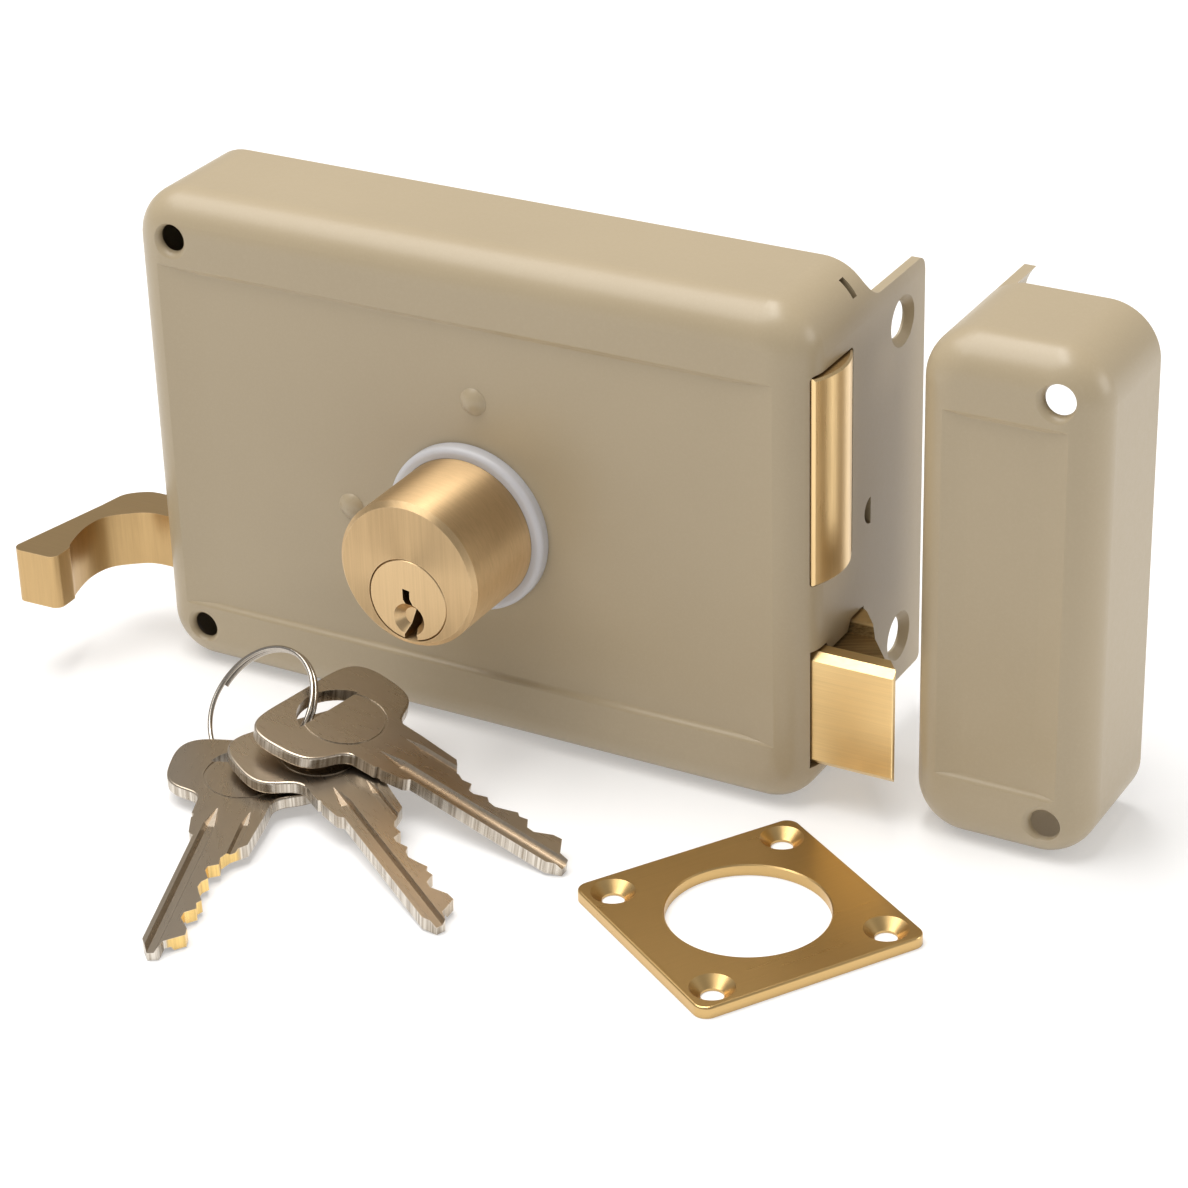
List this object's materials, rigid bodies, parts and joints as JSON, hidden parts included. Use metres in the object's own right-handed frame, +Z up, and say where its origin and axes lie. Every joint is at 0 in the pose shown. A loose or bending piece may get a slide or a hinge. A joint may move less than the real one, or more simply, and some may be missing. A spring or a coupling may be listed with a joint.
{
  "type": "rim deadbolt door lock",
  "caption": "Surface-mounted rim door lock with brass deadbolt, sprung latch, pull handle and key cylinders, with its box strike, square cylinder plate and keys on a split ring.",
  "frame": {"origin": "where the cylinder axis meets the door face (outer face of the back plate)", "axes": "+X towards the strike, +Y into the door, +Z up"},
  "size_m": [0.1873, 0.1438, 0.086],
  "materials": {
    "beige_paint": "satin baked paint",
    "satin_brass": "brushed satin brass",
    "plate_brass": "brushed brass",
    "pin_brass": "turned",
    "zinc_steel": "zinc plated",
    "white_plastic": "moulded",
    "key_nickel": "nickel plated, worn",
    "ring_steel": "polished spring wire"
  },
  "bodies": {
    "lock_body": {"case_cover": "beige_paint", "back_plate": "zinc_steel", "case_standoffs": "zinc_steel", "back_plate_screws": "zinc_steel", "guide_post": "beige_paint", "side_post": "beige_paint", "cylinder_bush": "white_plastic", "inner_cylinder_housing": "satin_brass", "inner_driver_pins": "pin_brass", "inner_cylinder_nut": "zinc_steel", "outer_cylinder_housing": "satin_brass", "outer_driver_pins": "pin_brass", "outer_cylinder_nut": "zinc_steel", "latch_spring_bracket": "zinc_steel", "bracket_rivets": "zinc_steel"},
    "inner_plug_set": {"inner_plug": "satin_brass", "inner_key_pins": "pin_brass", "inner_crank": "zinc_steel", "inner_crank_pin": "zinc_steel", "inner_crank_clip": "zinc_steel"},
    "outer_plug_set": {"outer_plug": "satin_brass", "outer_key_pins": "pin_brass", "outer_crank": "zinc_steel", "outer_crank_pin": "zinc_steel", "outer_crank_clip": "zinc_steel"},
    "deadbolt": {"deadbolt_head": "satin_brass", "deadbolt_carriage": "zinc_steel", "deadbolt_rivets": "zinc_steel"},
    "latch": {"latch_bolt": "satin_brass", "latch_tail": "zinc_steel", "latch_tail_pin": "zinc_steel", "latch_spring_guide": "zinc_steel", "latch_spring": "zinc_steel"},
    "handle": {"pull_handle": "satin_brass", "handle_pin": "zinc_steel"},
    "strike": {"strike_box": "beige_paint"},
    "plate": {"cylinder_plate": "plate_brass"},
    "ring": {"key_ring": "ring_steel"},
    "key_a": {"key_1": "key_nickel"},
    "key_b": {"key_2": "key_nickel"},
    "key_c": {"key_3": "key_nickel"}
  },
  "joints": [
    {"name": "inner_key_turn", "type": "hinge", "parent": "lock_body", "child": "inner_plug_set", "pos_m": [0, -0.03, -0.0044], "axis": [0, 1, 0], "range_deg": [0, 90]},
    {"name": "deadbolt_throw", "type": "slide", "parent": "lock_body", "child": "deadbolt", "axis": [1, 0, 0], "range_m": [0, 0.0125]},
    {"name": "outer_key_turn", "type": "hinge", "parent": "lock_body", "child": "outer_plug_set", "pos_m": [0, 0.02, -0.0044], "axis": [0, 1, 0], "range_deg": [-85, 85]},
    {"name": "handle_pull", "type": "slide", "parent": "lock_body", "child": "handle", "axis": [-1, 0, 0], "range_m": [0, 0.0125]},
    {"name": "latch_slide", "type": "slide", "parent": "lock_body", "child": "latch", "axis": [-1, 0, 0], "range_m": [0, 0.0125], "stiffness_N_per_m": 150, "springref_m": -0.02, "deforming": ["latch_spring"]},
    {"name": "strike_slide", "type": "slide", "parent": "lock_body", "child": "strike", "axis": [1, 0, 0], "range_m": [0, 0.06]},
    {"name": "plate_lift", "type": "slide", "parent": "lock_body", "child": "plate", "axis": [0, 0, 1], "range_m": [0, 0.06]},
    {"name": "key_ring_slide", "type": "slide", "parent": "lock_body", "child": "ring", "axis": [-0.5, -0.866, 0], "range_m": [0, 0.06]},
    {"name": "key_1_swing", "type": "hinge", "parent": "ring", "child": "key_a", "pos_m": [-0.02235, -0.05261, -0.03524], "axis": [0.0143, -0.0424, 0.999], "range_deg": [-1, 6]},
    {"name": "key_2_swing", "type": "hinge", "parent": "ring", "child": "key_b", "pos_m": [-0.01894, -0.05051, -0.03185], "axis": [0.092, -0.0593, 0.994], "range_deg": [-6, 0]},
    {"name": "key_3_swing", "type": "hinge", "parent": "ring", "child": "key_c", "pos_m": [-0.01761, -0.04649, -0.0276], "axis": [0.1851, -0.0311, 0.9822], "range_deg": [0, 12]}
  ],
  "couplings": [
    {"joint": "inner_key_turn", "follows": "deadbolt_throw", "rad_per_m": 125.66},
    {"joint": "latch_slide", "follows": "handle_pull", "ratio": 1}
  ]
}
